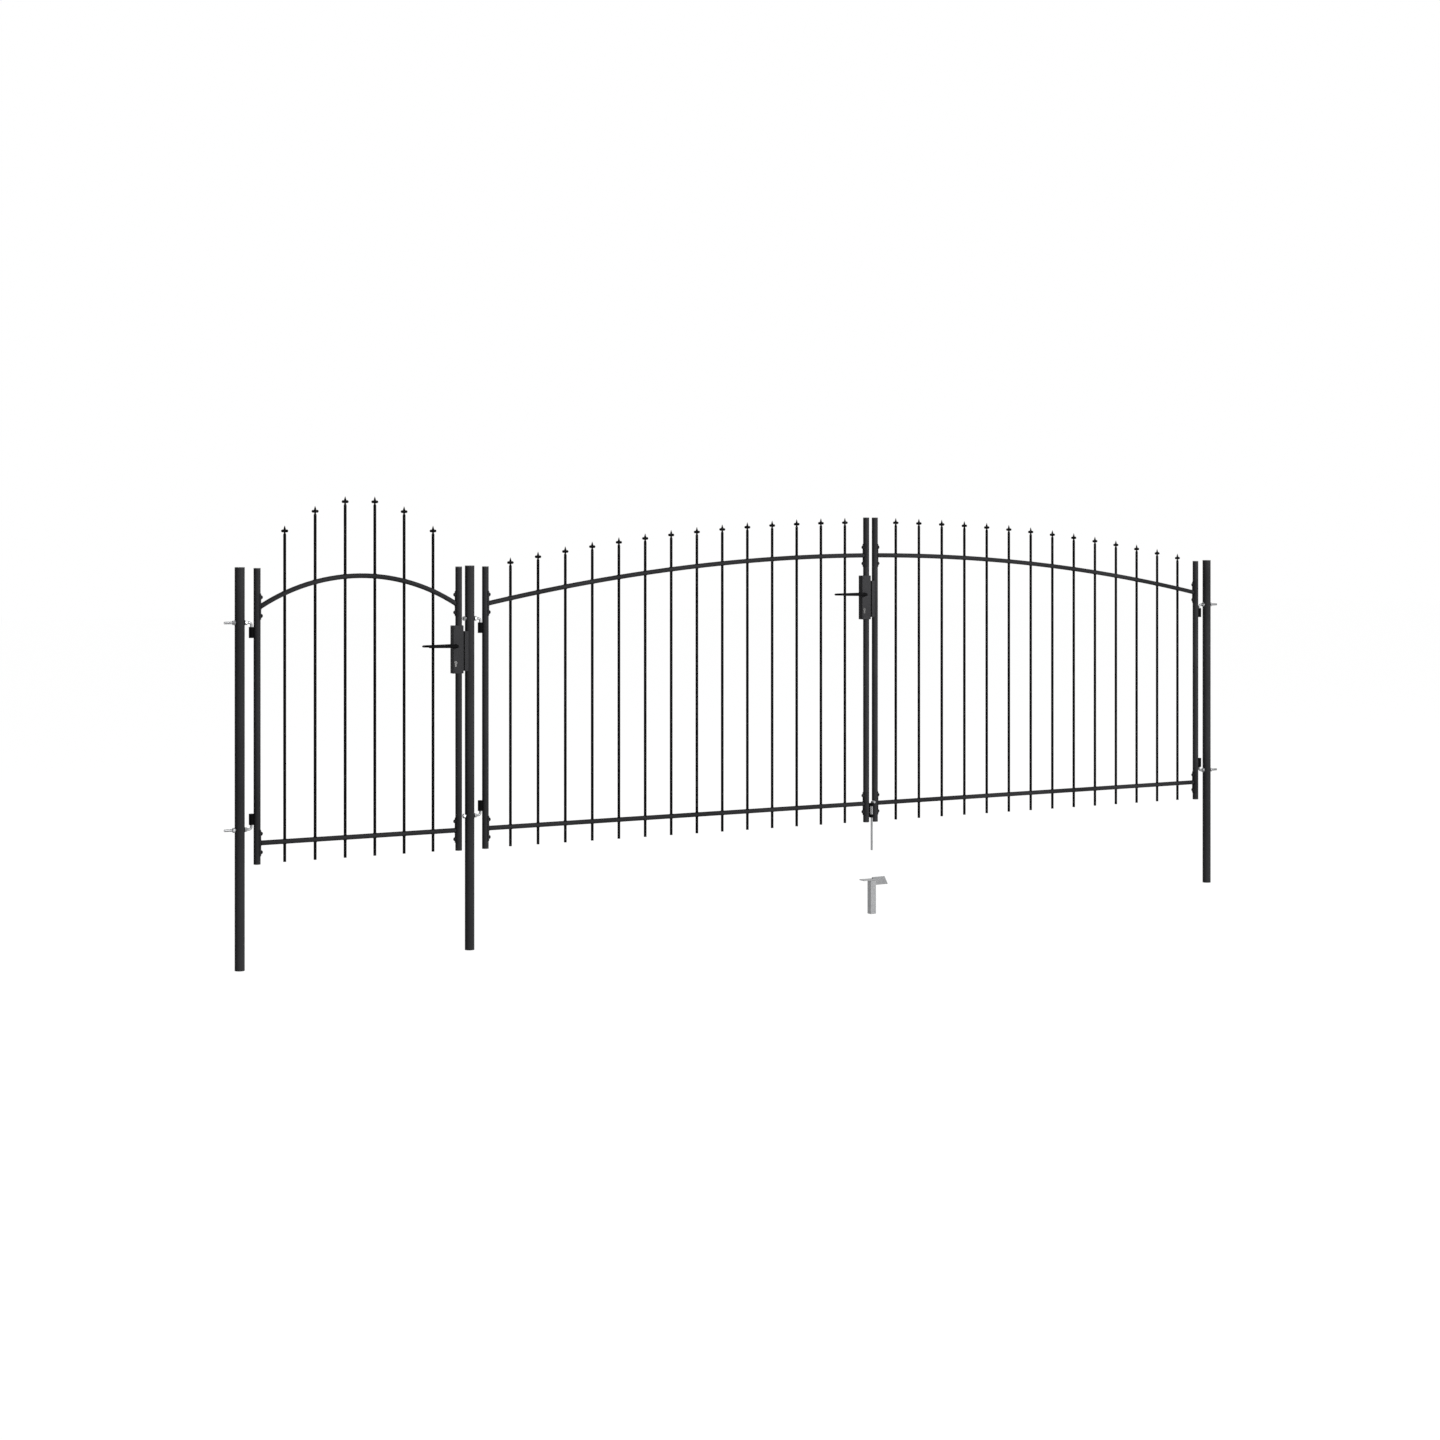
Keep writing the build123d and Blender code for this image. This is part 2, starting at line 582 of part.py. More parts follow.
def save_lock(name, stile_x, lever_z):
    save(name + "_lock_case", make_lock_case(stile_x, lever_z))
    save(name + "_key_barrel", make_key_barrel(stile_x, lever_z))
    save(name + "_levers", make_levers(stile_x, lever_z))


def main():
    os.makedirs("parts", exist_ok=True)
    save_posts()
    pedestrian_arch = (PEDESTRIAN_ARCH_X, PEDESTRIAN_CROWN, PEDESTRIAN_RADIUS)
    drive_arch = (DRIVE_ARCH_X, DRIVE_CROWN, DRIVE_RADIUS)
    pedestrian_panel = make_panel(
        PEDESTRIAN_HINGE_X, PEDESTRIAN_LOCK_X, pedestrian_arch, pedestrian_tips())
    left_panel = make_panel(LEFT_HINGE_X, LEFT_LOCK_X, drive_arch, drive_tips(LEFT_HINGE_X))
    right_panel = one_solid(half_turn(left_panel, DRIVE_ARCH_X))
    save_leaf(
        "pedestrian",
        (("hinge_stile", PEDESTRIAN_HINGE_X, SIDE_STILE_TOP),
         ("lock_stile", PEDESTRIAN_LOCK_X, SIDE_STILE_TOP)),
        pedestrian_panel, pedestrian_tips(), PEDESTRIAN_PIN_X, PEDESTRIAN_HINGE_X,
    )
    save_leaf(
        "left",
        (("hinge_stile", LEFT_HINGE_X, SIDE_STILE_TOP),
         ("lock_stile", LEFT_LOCK_X, MEETING_STILE_TOP)),
        left_panel, drive_tips(LEFT_HINGE_X), LEFT_PIN_X, LEFT_HINGE_X,
    )
    save_leaf(
        "right",
        (("meeting_stile", RIGHT_MEETING_X, MEETING_STILE_TOP),
         ("hinge_stile", RIGHT_HINGE_X, SIDE_STILE_TOP)),
        right_panel, drive_tips(RIGHT_MEETING_X), RIGHT_PIN_X, RIGHT_HINGE_X,
    )
    save_lock("pedestrian", PEDESTRIAN_LOCK_X, PEDESTRIAN_LEVER_HEIGHT)
    save_lock("main", LEFT_LOCK_X, MAIN_LEVER_HEIGHT)
    save("main_keep", make_keep(
        LEFT_LOCK_X, MAIN_LEVER_HEIGHT, RIGHT_MEETING_X, STILE_R, STILE_KEEP_REACH))
    save("drop_bolt_guide", make_guide())
    save("drop_bolt", make_drop_bolt())


main()
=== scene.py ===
# %% [markdown]
# # A garden gate set in black powder coat and galvanised steel
# The gate stands as one pedestrian leaf beside two drive leaves, between three round posts. Its tubes, rails
# and hinges are already exact solids, so this lesson loads them as a fixed frame and adds what a solid model
# leaves out: finishes, cast spear points, weld beads, bolts and threads.

# %% Load the frame
import bpy
import bmesh
import math
from collections import namedtuple
from mathutils import Matrix, Vector


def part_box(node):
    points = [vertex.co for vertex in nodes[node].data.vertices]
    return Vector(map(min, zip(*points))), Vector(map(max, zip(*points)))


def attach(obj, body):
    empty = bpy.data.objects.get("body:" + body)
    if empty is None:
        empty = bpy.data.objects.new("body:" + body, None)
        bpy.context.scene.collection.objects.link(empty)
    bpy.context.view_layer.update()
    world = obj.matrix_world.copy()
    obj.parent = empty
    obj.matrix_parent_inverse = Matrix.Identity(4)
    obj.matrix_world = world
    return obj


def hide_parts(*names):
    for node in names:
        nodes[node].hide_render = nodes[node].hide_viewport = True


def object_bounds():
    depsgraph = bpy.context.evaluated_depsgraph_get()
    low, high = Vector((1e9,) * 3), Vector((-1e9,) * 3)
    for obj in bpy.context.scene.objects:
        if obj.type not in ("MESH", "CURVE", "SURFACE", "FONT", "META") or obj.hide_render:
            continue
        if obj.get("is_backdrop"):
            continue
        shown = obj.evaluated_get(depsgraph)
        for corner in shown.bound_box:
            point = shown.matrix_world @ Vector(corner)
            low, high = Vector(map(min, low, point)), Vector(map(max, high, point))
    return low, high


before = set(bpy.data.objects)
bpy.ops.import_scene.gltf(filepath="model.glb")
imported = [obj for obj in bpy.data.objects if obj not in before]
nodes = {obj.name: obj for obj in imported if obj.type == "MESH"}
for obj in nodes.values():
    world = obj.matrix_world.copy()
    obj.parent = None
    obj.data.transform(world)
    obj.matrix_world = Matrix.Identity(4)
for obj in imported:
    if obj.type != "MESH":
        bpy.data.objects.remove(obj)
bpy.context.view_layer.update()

# %% [markdown]
# ## The camera
# The picture was taken from the front left, thirty degrees off square, with the camera level. A level camera
# keeps the posts upright in the picture, and a vertical lens shift then frames the gate lower down. The focal
# length and the distance were worked out from the posts' spacing and heights in the picture.

# %% Camera
camera_data = bpy.data.cameras.new("camera")
camera_data.lens = 62.249
camera_data.sensor_width = 36.0
camera_data.shift_y = -0.13045
camera_data.clip_end = 200.0
camera = bpy.data.objects.new("camera", camera_data)
camera.location = (-4.290, -9.520, 1.742)
camera.rotation_euler = (math.radians(90), 0, math.radians(-30))
bpy.context.scene.collection.objects.link(camera)
bpy.context.scene.camera = camera
print("camera at", tuple(round(v, 2) for v in camera.location))

# %% [markdown]
# ## Node helpers
# Each finish is a small node tree on one shader. Three helpers keep the cells short: one starts a material
# with its shader, one adds a node with its settings, and one joins two sockets. Patterns read the Object
# coordinates, which stay fixed to the metal when a leaf swings.

# %% Helpers for materials
def start_material(name):
    material = bpy.data.materials.new(name)
    material.use_nodes = True
    tree = material.node_tree
    return material, tree, tree.nodes["Principled BSDF"]


def add_node(tree, kind, **values):
    node = tree.nodes.new(kind)
    for key, value in values.items():
        if key in node.inputs:
            node.inputs[key].default_value = value
        else:
            setattr(node, key, value)
    return node


def object_point(tree):
    return add_node(tree, "ShaderNodeTexCoord").outputs["Object"]


def ramp(tree, source, low, high, low_color, high_color):
    node = tree.nodes.new("ShaderNodeValToRGB")
    tree.links.new(source, node.inputs["Fac"])
    first, last = node.color_ramp.elements
    first.position = low
    last.position = high
    first.color = (*low_color, 1)
    last.color = (*high_color, 1)
    return node.outputs["Color"]


def noise(tree, point, scale, detail=3.0, rough=0.5):
    node = add_node(tree, "ShaderNodeTexNoise", Scale=scale, Detail=detail, Roughness=rough)
    tree.links.new(point, node.inputs["Vector"])
    return node.outputs["Fac"]


def bump(tree, shader, height, strength, distance, under=None):
    node = add_node(tree, "ShaderNodeBump", Strength=strength, Distance=distance)
    tree.links.new(height, node.inputs["Height"])
    if under is not None:
        tree.links.new(under, node.inputs["Normal"])
    tree.links.new(node.outputs["Normal"], shader.inputs["Normal"])
    return node.outputs["Normal"]


print("helpers ready")

# %% [markdown]
# ## Black powder coat
# Powder coat is baked on as a thick skin, so it shows a fine orange peel and no brush marks. A noise of about
# two millimetres makes the peel and one of under half a millimetre its grain. A third breaks up the gloss,
# and a broad one lets the black drift a little between runs of tube, as a sprayed coat does.

# %% Powder coat
PEEL_SCALE = 520.0
GRAIN_SCALE = 2600.0
GLOSS_SCALE = 320.0
DRIFT_SCALE = 2.4
TUBE_SHADES = ((0.019, 0.019, 0.020), (0.031, 0.031, 0.033))
BAR_SHADES = ((0.003, 0.003, 0.0032), (0.006, 0.006, 0.0064))
CASE_SHADES = ((0.024, 0.024, 0.0255), (0.036, 0.036, 0.038))


def powder_coat(name, shades, gloss_low, gloss_high, shine, peel_depth=0.2):
    material, tree, shader = start_material(name)
    point = object_point(tree)
    drift = noise(tree, point, DRIFT_SCALE, 2.0)
    tree.links.new(ramp(tree, drift, 0.3, 0.7, *shades), shader.inputs["Base Color"])
    patches = noise(tree, point, GLOSS_SCALE, 4.0, 0.6)
    gloss = ramp(tree, patches, 0.3, 0.7, (gloss_low,) * 3, (gloss_high,) * 3)
    tree.links.new(gloss, shader.inputs["Roughness"])
    peel = bump(tree, shader, noise(tree, point, PEEL_SCALE, 2.0), peel_depth, 0.0004)
    bump(tree, shader, noise(tree, point, GRAIN_SCALE, 2.0), 0.12, 0.0001, under=peel)
    shader.inputs["Specular IOR Level"].default_value = shine
    return material


tube_black = powder_coat("tube_powder_coat", TUBE_SHADES, 0.22, 0.31, 0.03)
bar_black = powder_coat("bar_powder_coat", BAR_SHADES, 0.4, 0.5, 0.01)
case_black = powder_coat("case_powder_coat", CASE_SHADES, 0.36, 0.48, 0.02)
print("powder coats", tube_black.name, bar_black.name, case_black.name)

# %% [markdown]
# ## One panel, with a painted highlight on the rails
# Rails and pickets are one welded panel under one black coat. The heavier rails and saddles catch a soft
# highlight that the slim pickets don't, so they are painted a shade lighter than the pickets: that lighter
# shade is a painted highlight. Nothing separates them in the mesh, so the material finds them itself: the
# bottom rail by its height, the arch by its distance from the arch's centre, and the saddles by their
# distance from the leaf's middle line.

# %% A test of distance
BOTTOM_RAIL = 0.502
RAIL_R = 0.010
RAIL_REACH = RAIL_R * 1.02
SADDLE_REACH = 0.0175
PED_CROWN, PED_RADIUS = 1.5645, 0.810
DRIVE_CROWN, DRIVE_RADIUS = 1.636, 9.650
# Lighter black for rails and saddles: a painted highlight on the same coat as the pickets.
RAIL_HIGHLIGHT_SHADES = ((0.016, 0.016, 0.017), (0.026, 0.026, 0.0275))


def near(tree, value, target, reach):
    node = add_node(tree, "ShaderNodeMath", operation="COMPARE")
    tree.links.new(value, node.inputs[0])
    node.inputs[1].default_value = target
    node.inputs[2].default_value = reach
    return node.outputs[0]


print("bottom rail at", BOTTOM_RAIL, "arches crown at", PED_CROWN, "and", DRIVE_CROWN)

# %% [markdown]
# The tests give one on a rail or a saddle and nought elsewhere. The largest of them then chooses between the
# pickets' black and the lighter painted highlight of the rails, so that a point on any of the rails is
# enough.

# %% Panel coat
def panel_coat(name, centre_x, crown, radius, saddle_spots):
    material = powder_coat(name, BAR_SHADES, 0.3, 0.42, 0.01, peel_depth=0.12)
    tree = material.node_tree
    shader = tree.nodes["Principled BSDF"]
    point = object_point(tree)
    axes = tree.nodes.new("ShaderNodeSeparateXYZ")
    tree.links.new(point, axes.inputs[0])
    flat = add_node(tree, "ShaderNodeVectorMath", operation="MULTIPLY")
    tree.links.new(point, flat.inputs[0])
    flat.inputs[1].default_value = (1, 0, 1)
    away = add_node(tree, "ShaderNodeVectorMath", operation="DISTANCE")
    tree.links.new(flat.outputs[0], away.inputs[0])
    away.inputs[1].default_value = (centre_x, 0, crown - radius)
    side = add_node(tree, "ShaderNodeMath", operation="SUBTRACT")
    tree.links.new(axes.outputs["X"], side.inputs[0])
    side.inputs[1].default_value = centre_x
    from_middle = add_node(tree, "ShaderNodeMath", operation="ABSOLUTE")
    tree.links.new(side.outputs[0], from_middle.inputs[0])
    total = near(tree, axes.outputs["Z"], BOTTOM_RAIL, RAIL_REACH)
    others = [near(tree, away.outputs["Value"], radius, RAIL_REACH)]
    others += [near(tree, from_middle.outputs[0], spot, SADDLE_REACH) for spot in saddle_spots]
    for other in others:
        rails = add_node(tree, "ShaderNodeMath", operation="MAXIMUM")
        tree.links.new(total, rails.inputs[0])
        tree.links.new(other, rails.inputs[1])
        total = rails.outputs[0]
    mix = add_node(tree, "ShaderNodeMix", data_type="RGBA")
    thin = shader.inputs["Base Color"].links[0].from_socket
    # Rails and saddles take this lighter black as a painted highlight.
    rail_highlight = ramp(tree, noise(tree, point, DRIFT_SCALE, 2.0), 0.3, 0.7, *RAIL_HIGHLIGHT_SHADES)
    tree.links.new(total, mix.inputs["Factor"])
    tree.links.new(thin, mix.inputs["A"])
    tree.links.new(rail_highlight, mix.inputs["B"])
    tree.links.new(mix.outputs["Result"], shader.inputs["Base Color"])
    return material


pedestrian_panel_black = panel_coat(
    "pedestrian_panel_coat", -0.4873, PED_CROWN, PED_RADIUS, saddle_spots=(0.4375,)
)
drive_panel_black = panel_coat(
    "drive_panel_coat", 2.00115, DRIVE_CROWN, DRIVE_RADIUS, saddle_spots=(0.02375, 1.92915)
)
print("panel coats", pedestrian_panel_black.name, drive_panel_black.name)

# %% [markdown]
# ## Galvanised zinc
# Hooks, nuts, bolt and socket were dipped in molten zinc. It freezes in flat crystals, called spangle, each
# with its own shade of grey, and it dulls outdoors. Cells of a few millimetres give each crystal its shade
# and gloss, and a soft noise adds the cloudy oxide over them.

# %% Galvanised zinc
def galvanised(name, cell_scale):
    material, tree, shader = start_material(name)
    point = object_point(tree)
    cells = add_node(tree, "ShaderNodeTexVoronoi", Scale=cell_scale, Randomness=1.0)
    tree.links.new(point, cells.inputs["Vector"])
    split = tree.nodes.new("ShaderNodeSeparateColor")
    tree.links.new(cells.outputs["Color"], split.inputs["Color"])
    spangle = ramp(tree, split.outputs["Red"], 0.0, 1.0, (0.21, 0.213, 0.218), (0.29, 0.293, 0.298))
    oxide = ramp(tree, noise(tree, point, 60.0, 4.0, 0.6), 0.42, 0.75, (0, 0, 0), (0.55, 0.55, 0.55))
    mix = add_node(tree, "ShaderNodeMix", data_type="RGBA")
    tree.links.new(oxide, mix.inputs["Factor"])
    tree.links.new(spangle, mix.inputs["A"])
    mix.inputs["B"].default_value = (0.29, 0.293, 0.295, 1)
    tree.links.new(mix.outputs["Result"], shader.inputs["Base Color"])
    gloss = ramp(tree, split.outputs["Green"], 0.0, 1.0, (0.34, 0.34, 0.34), (0.56, 0.56, 0.56))
    tree.links.new(gloss, shader.inputs["Roughness"])
    bump(tree, shader, noise(tree, point, 240.0, 3.0), 0.25, 0.0005)
    shader.inputs["Metallic"].default_value = 0.85
    return material


zinc = galvanised("galvanised_zinc", 420.0)
print("zinc", zinc.name)

# %% [markdown]
# ## Moulded plugs and key barrel
# The plugs in the tube ends are moulded plastic: duller than the coat beside them, with a spark-eroded
# texture. The key barrel is nickel plated, with the fine turning marks of a lathe.

# %% Plastic and nickel
def moulded_plastic(name):
    material, tree, shader = start_material(name)
    point = object_point(tree)
    tone = noise(tree, point, 90.0, 3.0)
    tree.links.new(ramp(tree, tone, 0.3, 0.7, (0.02, 0.02, 0.021), (0.033, 0.033, 0.035)),
                   shader.inputs["Base Color"])
    shader.inputs["Roughness"].default_value = 0.62
    bump(tree, shader, noise(tree, point, 1400.0, 2.0), 0.35, 0.0002)
    return material


def plated_nickel(name):
    material, tree, shader = start_material(name)
    point = object_point(tree)
    stretch = add_node(tree, "ShaderNodeMapping", Scale=(1.0, 0.04, 1.0))
    tree.links.new(point, stretch.inputs["Vector"])
    marks = noise(tree, stretch.outputs["Vector"], 1800.0, 2.0)
    tree.links.new(ramp(tree, marks, 0.3, 0.7, (0.07, 0.07, 0.069), (0.12, 0.119, 0.117)),
                   shader.inputs["Base Color"])
    tree.links.new(ramp(tree, marks, 0.3, 0.7, (0.28,) * 3, (0.42,) * 3), shader.inputs["Roughness"])
    shader.inputs["Metallic"].default_value = 1.0
    return material


plug_plastic = moulded_plastic("plug_plastic")
key_nickel = plated_nickel("key_nickel")
print("plastic and nickel ready")

# %% [markdown]
# ## Dressing the solids
# Every solid keeps its exact shape and gets the finish of the real piece. The names say what each one is, so
# the finish is chosen by the words in the name.

# %% Give each solid its finish
finish_of = (
    ("hinge_hook", zinc), ("ground_socket", zinc), ("plugs", plug_plastic), ("caps", plug_plastic),
    ("key_barrel", key_nickel), ("pedestrian_panel", pedestrian_panel_black),
    ("panel", drive_panel_black), ("spears", bar_black), ("lock_case", case_black),
    ("keep", case_black), ("guide", bar_black), ("levers", bar_black), ("knuckles", bar_black),
    ("drop_bolt", zinc),
)


def finish_for(name):
    for word, material in finish_of:
        if word in name:
            return material
    return tube_black


for name, node in nodes.items():
    node.data.materials.clear()
    node.data.materials.append(finish_for(name))
print("dressed", len(nodes), "solids")

# %% [markdown]
# ## Where things stand
# New pieces have to sit on the solids, so their places are read from the solids' own boxes. Pickets stand at
# an even pitch between the stiles. The top rails are bent to circles, so their height at any picket follows
# from the crown and the radius.

# %% Places
PITCH = 0.1288
END_PITCH = 0.1155
STILE_R = 0.014
PED_TIP, PED_TIP_FALL = 1.893, 0.124
DRIVE_TIP_RISE = 0.172
Leaf = namedtuple("Leaf", "body low_x high_x count rail tip")


def middle(node):
    low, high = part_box(node)
    return (low + high) / 2


def arch(x, centre, crown, radius):
    return crown - radius + math.sqrt(radius**2 - (x - centre) ** 2)


ped_low, ped_high = middle("pedestrian_hinge_stile").x, middle("pedestrian_lock_stile").x
left_low, left_high = middle("left_hinge_stile").x, middle("left_lock_stile").x
right_low, right_high = middle("right_meeting_stile").x, middle("right_hinge_stile").x
ped_centre = (ped_low + ped_high) / 2
drive_centre = (left_high + right_low) / 2


def ped_rail(x):
    return arch(x, ped_centre, PED_CROWN, PED_RADIUS)


def drive_rail(x):
    return arch(x, drive_centre, DRIVE_CROWN, DRIVE_RADIUS)


def ped_tip(x):
    return PED_TIP - PED_TIP_FALL * ((x - ped_centre) / (2.5 * PITCH)) ** 2


def drive_tip(x):
    return drive_rail(x) + DRIVE_TIP_RISE


leaves = {
    "pedestrian": Leaf("pedestrian_leaf", ped_low, ped_high, 6, ped_rail, ped_tip),
    "left": Leaf("left_leaf", left_low, left_high, 14, drive_rail, drive_tip),
    "right": Leaf("right_leaf", right_low, right_high, 14, drive_rail, drive_tip),
}


def pickets(leaf):
    return [leaf.low_x + END_PITCH + i * PITCH for i in range(leaf.count)]


for name, leaf in leaves.items():
    print(name, "pickets from", round(pickets(leaf)[0], 3), "to", round(pickets(leaf)[-1], 3))

# %% [markdown]
# ## Selecting and settling
# Blender's operators act on whatever is selected, and the loaded solids arrive selected. So each new piece
# starts from an empty selection. Settling moves a piece's place and turn into its mesh, which leaves its
# origin at the gate's own, so that later steps can measure from there.

# %% Helpers for selecting
def clear():
    if bpy.context.object and bpy.context.object.mode == "EDIT":
        bpy.ops.object.mode_set(mode="OBJECT")
    bpy.ops.object.select_all(action="DESELECT")


def only(piece):
    clear()
    piece.select_set(True)
    bpy.context.view_layer.objects.active = piece


def settle(piece):
    only(piece)
    bpy.ops.object.transform_apply(location=True, rotation=True, scale=True)
    return piece


def apply_modifiers(piece):
    only(piece)
    for modifier in list(piece.modifiers):
        bpy.ops.object.modifier_apply(modifier=modifier.name)


def select_where(piece, test, kind="FACE"):
    """Leaves edit mode's selection on the faces or vertices that pass the test."""
    only(piece)
    bpy.ops.object.mode_set(mode="EDIT")
    bpy.ops.mesh.select_mode(type=kind)
    bpy.ops.mesh.select_all(action="DESELECT")
    work = bmesh.from_edit_mesh(piece.data)
    group = work.faces if kind == "FACE" else work.verts
    for part in group:
        if test(part):
            part.select_set(True)
    work.select_flush_mode()
    bmesh.update_edit_mesh(piece.data)


print("helpers for selecting ready")

# %% [markdown]
# ## Starting shapes and cuts
# Most small ironwork starts as a round bar or a block, is drawn out or rounded over, and is joined to its
# neighbour or cut by it. These helpers do the same: two starting shapes, one step of drawing out, two ways of
# rounding an edge, and a boolean that joins, cuts or keeps what two shapes share.

# %% Helpers for shaping
def combine(piece, other, how="UNION"):
    joint = piece.modifiers.new("joint", "BOOLEAN")
    joint.operation = how
    joint.solver = "EXACT"
    joint.object = other
    apply_modifiers(piece)
    bpy.data.objects.remove(other)
    return piece


def about(axis, degrees):
    return Matrix.Rotation(math.radians(degrees), 4, axis)


def turned(radius, depth, place=(0, 0, 0), along="Z", sides=32):
    """A plain round bar to start from, along one axis."""
    turns = {"X": (0, math.radians(90), 0), "Y": (math.radians(90), 0, 0), "Z": (0, 0, 0)}
    clear()
    bpy.ops.mesh.primitive_cylinder_add(vertices=sides, radius=radius, depth=depth, location=place,
                                        rotation=turns[along])
    return settle(bpy.context.object)


def block(place, size):
    clear()
    bpy.ops.mesh.primitive_cube_add(size=1, location=place, scale=size)
    return settle(bpy.context.object)


def extrude(step, scale):
    """Pulls the selected face out by a step and then scales it."""
    bpy.ops.mesh.extrude_region_move(TRANSFORM_OT_translate={"value": step})
    bpy.ops.transform.resize(value=scale)


def round_over(piece, width, segments=2):
    """Bevels the selected rim and leaves edit mode."""
    bpy.ops.mesh.bevel(offset=width, segments=segments, affect="EDGES")
    bpy.ops.object.mode_set(mode="OBJECT")
    return piece


def soften(piece, width, segments=2, angle=40):
    edge = piece.modifiers.new("edge", "BEVEL")
    edge.width = width
    edge.segments = segments
    edge.limit_method = "ANGLE"
    edge.angle_limit = math.radians(angle)
    apply_modifiers(piece)
    return piece


print("helpers for shaping ready")

# %% [markdown]
# ## Copies and finished pieces
# Ironwork of this kind repeats: one point, one nut and one bead, made once and used many times. Copies are
# placed by moving their own meshes and are then joined. A finished piece is shaded, takes its finish, and
# rides on the leaf or post that carries it.

# %% Helpers for placing
def copy_to(master, turn, places):
    """One mesh copy a place, each turned and moved in its own mesh."""
    made = []
    for place in places:
        twin = bpy.data.objects.new(master.name, master.data.copy())
        twin.data.transform(Matrix.Translation(place) @ turn)
        bpy.context.scene.collection.objects.link(twin)
        made.append(twin)
    return made


def join(name, parts):
    clear()
    for part in parts:
        part.select_set(True)
    bpy.context.view_layer.objects.active = parts[0]
    if len(parts) > 1:
        bpy.ops.object.join()
    piece = bpy.context.view_layer.objects.active
    piece.name = name
    return piece


def hand_over(piece, body, material, angle=35):
    settle(piece)
    bpy.ops.object.shade_smooth_by_angle(angle=math.radians(angle))
    piece.data.materials.clear()
    piece.data.materials.append(material)
    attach(piece, body)
    print(piece.name, "on", body, "faces", len(piece.data.polygons))
    return piece


AS_MADE = Matrix.Identity(4)
UPSIDE_DOWN = about("X", 180)
print("helpers for placing ready")

# %% [markdown]
# ## The spear points
# Each picket ends in a cast point: a round socket, a narrow waist, two side lobes and a bud drawn out to a
# tip. Cast iron has no sharp edges, so flat solids won't do. The bud starts as a low cylinder whose top face
# is extruded and scaled step by step, as a potter pulls up a neck. Flattened balls are then fused to its
# sides.

# %% Pull up the bud
spear = turned(0.0060, 0.009, (0, 0, 0.0045), sides=20)
spear.name = "spear_master"
select_where(spear, lambda f: f.normal.z > 0.9)
for rise, scale_x, scale_y in (
    (0.0018, 0.93, 0.93), (0.0035, 0.70, 0.72), (0.0040, 1.00, 1.00), (0.0035, 1.25, 1.12),
    (0.0035, 1.16, 1.02), (0.0040, 0.98, 0.94), (0.0040, 0.80, 0.84), (0.0040, 0.70, 0.76),
    (0.0040, 0.58, 0.66), (0.0036, 0.42, 0.48), (0.0009, 0.30, 0.30),
):
    extrude((0, 0, rise), (scale_x, scale_y, 1))
bpy.ops.object.mode_set(mode="OBJECT")
top = max(v.co.z for v in spear.data.vertices)
print("bud height mm", round(top * 1000, 1))

# %% [markdown]
# The lobes are balls pressed a little flat, front to back, and drawn down towards the waist by a small
# smooth pull, so that they grow out of the bud instead of sitting on it.

# %% Fuse the side lobes
SPEAR_HEIGHT = 0.046
LOBE_HEIGHT, LOBE_OUT = 0.024, 0.0090
for side in (-1, 1):
    clear()
    bpy.ops.mesh.primitive_uv_sphere_add(
        segments=28, ring_count=16, radius=0.0060, location=(side * LOBE_OUT, 0, LOBE_HEIGHT)
    )
    lobe = bpy.context.object
    lobe.scale = (1.0, 0.72, 0.98)
    settle(lobe)
    select_where(lobe, lambda v: side * v.co.x < 0.0062, "VERT")
    bpy.ops.transform.translate(value=(-side * 0.0022, 0, -0.0004), use_proportional_edit=True,
                                proportional_edit_falloff="SMOOTH", proportional_size=0.005)
    bpy.ops.object.mode_set(mode="OBJECT")
    combine(spear, lobe)
soften(spear, 0.0007)
print("spear point faces", len(spear.data.polygons))

# %% [markdown]
# Each picket gets its own copy, whose base lies at the picket's end. The tips of a leaf follow its arch, or a
# curve of their own on the pedestrian leaf, and all points of a leaf become one piece that swings with it.

# %% Set a point on every picket
for name, leaf in leaves.items():
    places = [(x, 0, leaf.tip(x) - SPEAR_HEIGHT) for x in pickets(leaf)]
    points = join(name + "_spear_points", copy_to(spear, AS_MADE, places))
    hand_over(points, leaf.body, bar_black)
    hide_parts(name + "_spears")
bpy.data.objects.remove(spear)

# %% [markdown]
# ## Weld beads on the rails
# Pickets pass through punched holes in the rails and are welded above and below. A bead is a thin ring that
# follows the curved top of the rail, so a torus is added around the picket and each of its points is let
# down to the rail's surface.

# %% Ring of weld around a picket
clear()
bpy.ops.mesh.primitive_torus_add(major_segments=24, minor_segments=7, major_radius=0.0066,
                                 minor_radius=0.0012)
ring = bpy.context.object
ring.name = "ring_master"
for vertex in ring.data.vertices:
    across_rail = min(abs(vertex.co.y), RAIL_R * 0.95)
    vertex.co.z += math.sqrt(RAIL_R**2 - across_rail**2)
    vertex.co.z += 0.00022 * math.sin(9 * math.atan2(vertex.co.y, vertex.co.x))
for name, leaf in leaves.items():
    beads = []
    for x in pickets(leaf):
        slope = math.atan2(leaf.rail(x + 0.001) - leaf.rail(x - 0.001), 0.002)
        lean = Matrix.Rotation(-slope, 4, "Y")
        for side in (AS_MADE, UPSIDE_DOWN):
            beads += copy_to(ring, lean @ side, [(x, 0, leaf.rail(x))])
            beads += copy_to(ring, side, [(x, 0, BOTTOM_RAIL)])
    hand_over(join(name + "_picket_welds", beads), leaf.body, bar_black, 60)
bpy.data.objects.remove(ring)

# %% [markdown]
# ## Rail ends
# Each rail is welded to its saddle all round, with a heavier bead. It follows the saddle's curve, so the
# torus is turned to face along the rail and its points are moved back where the saddle falls away.

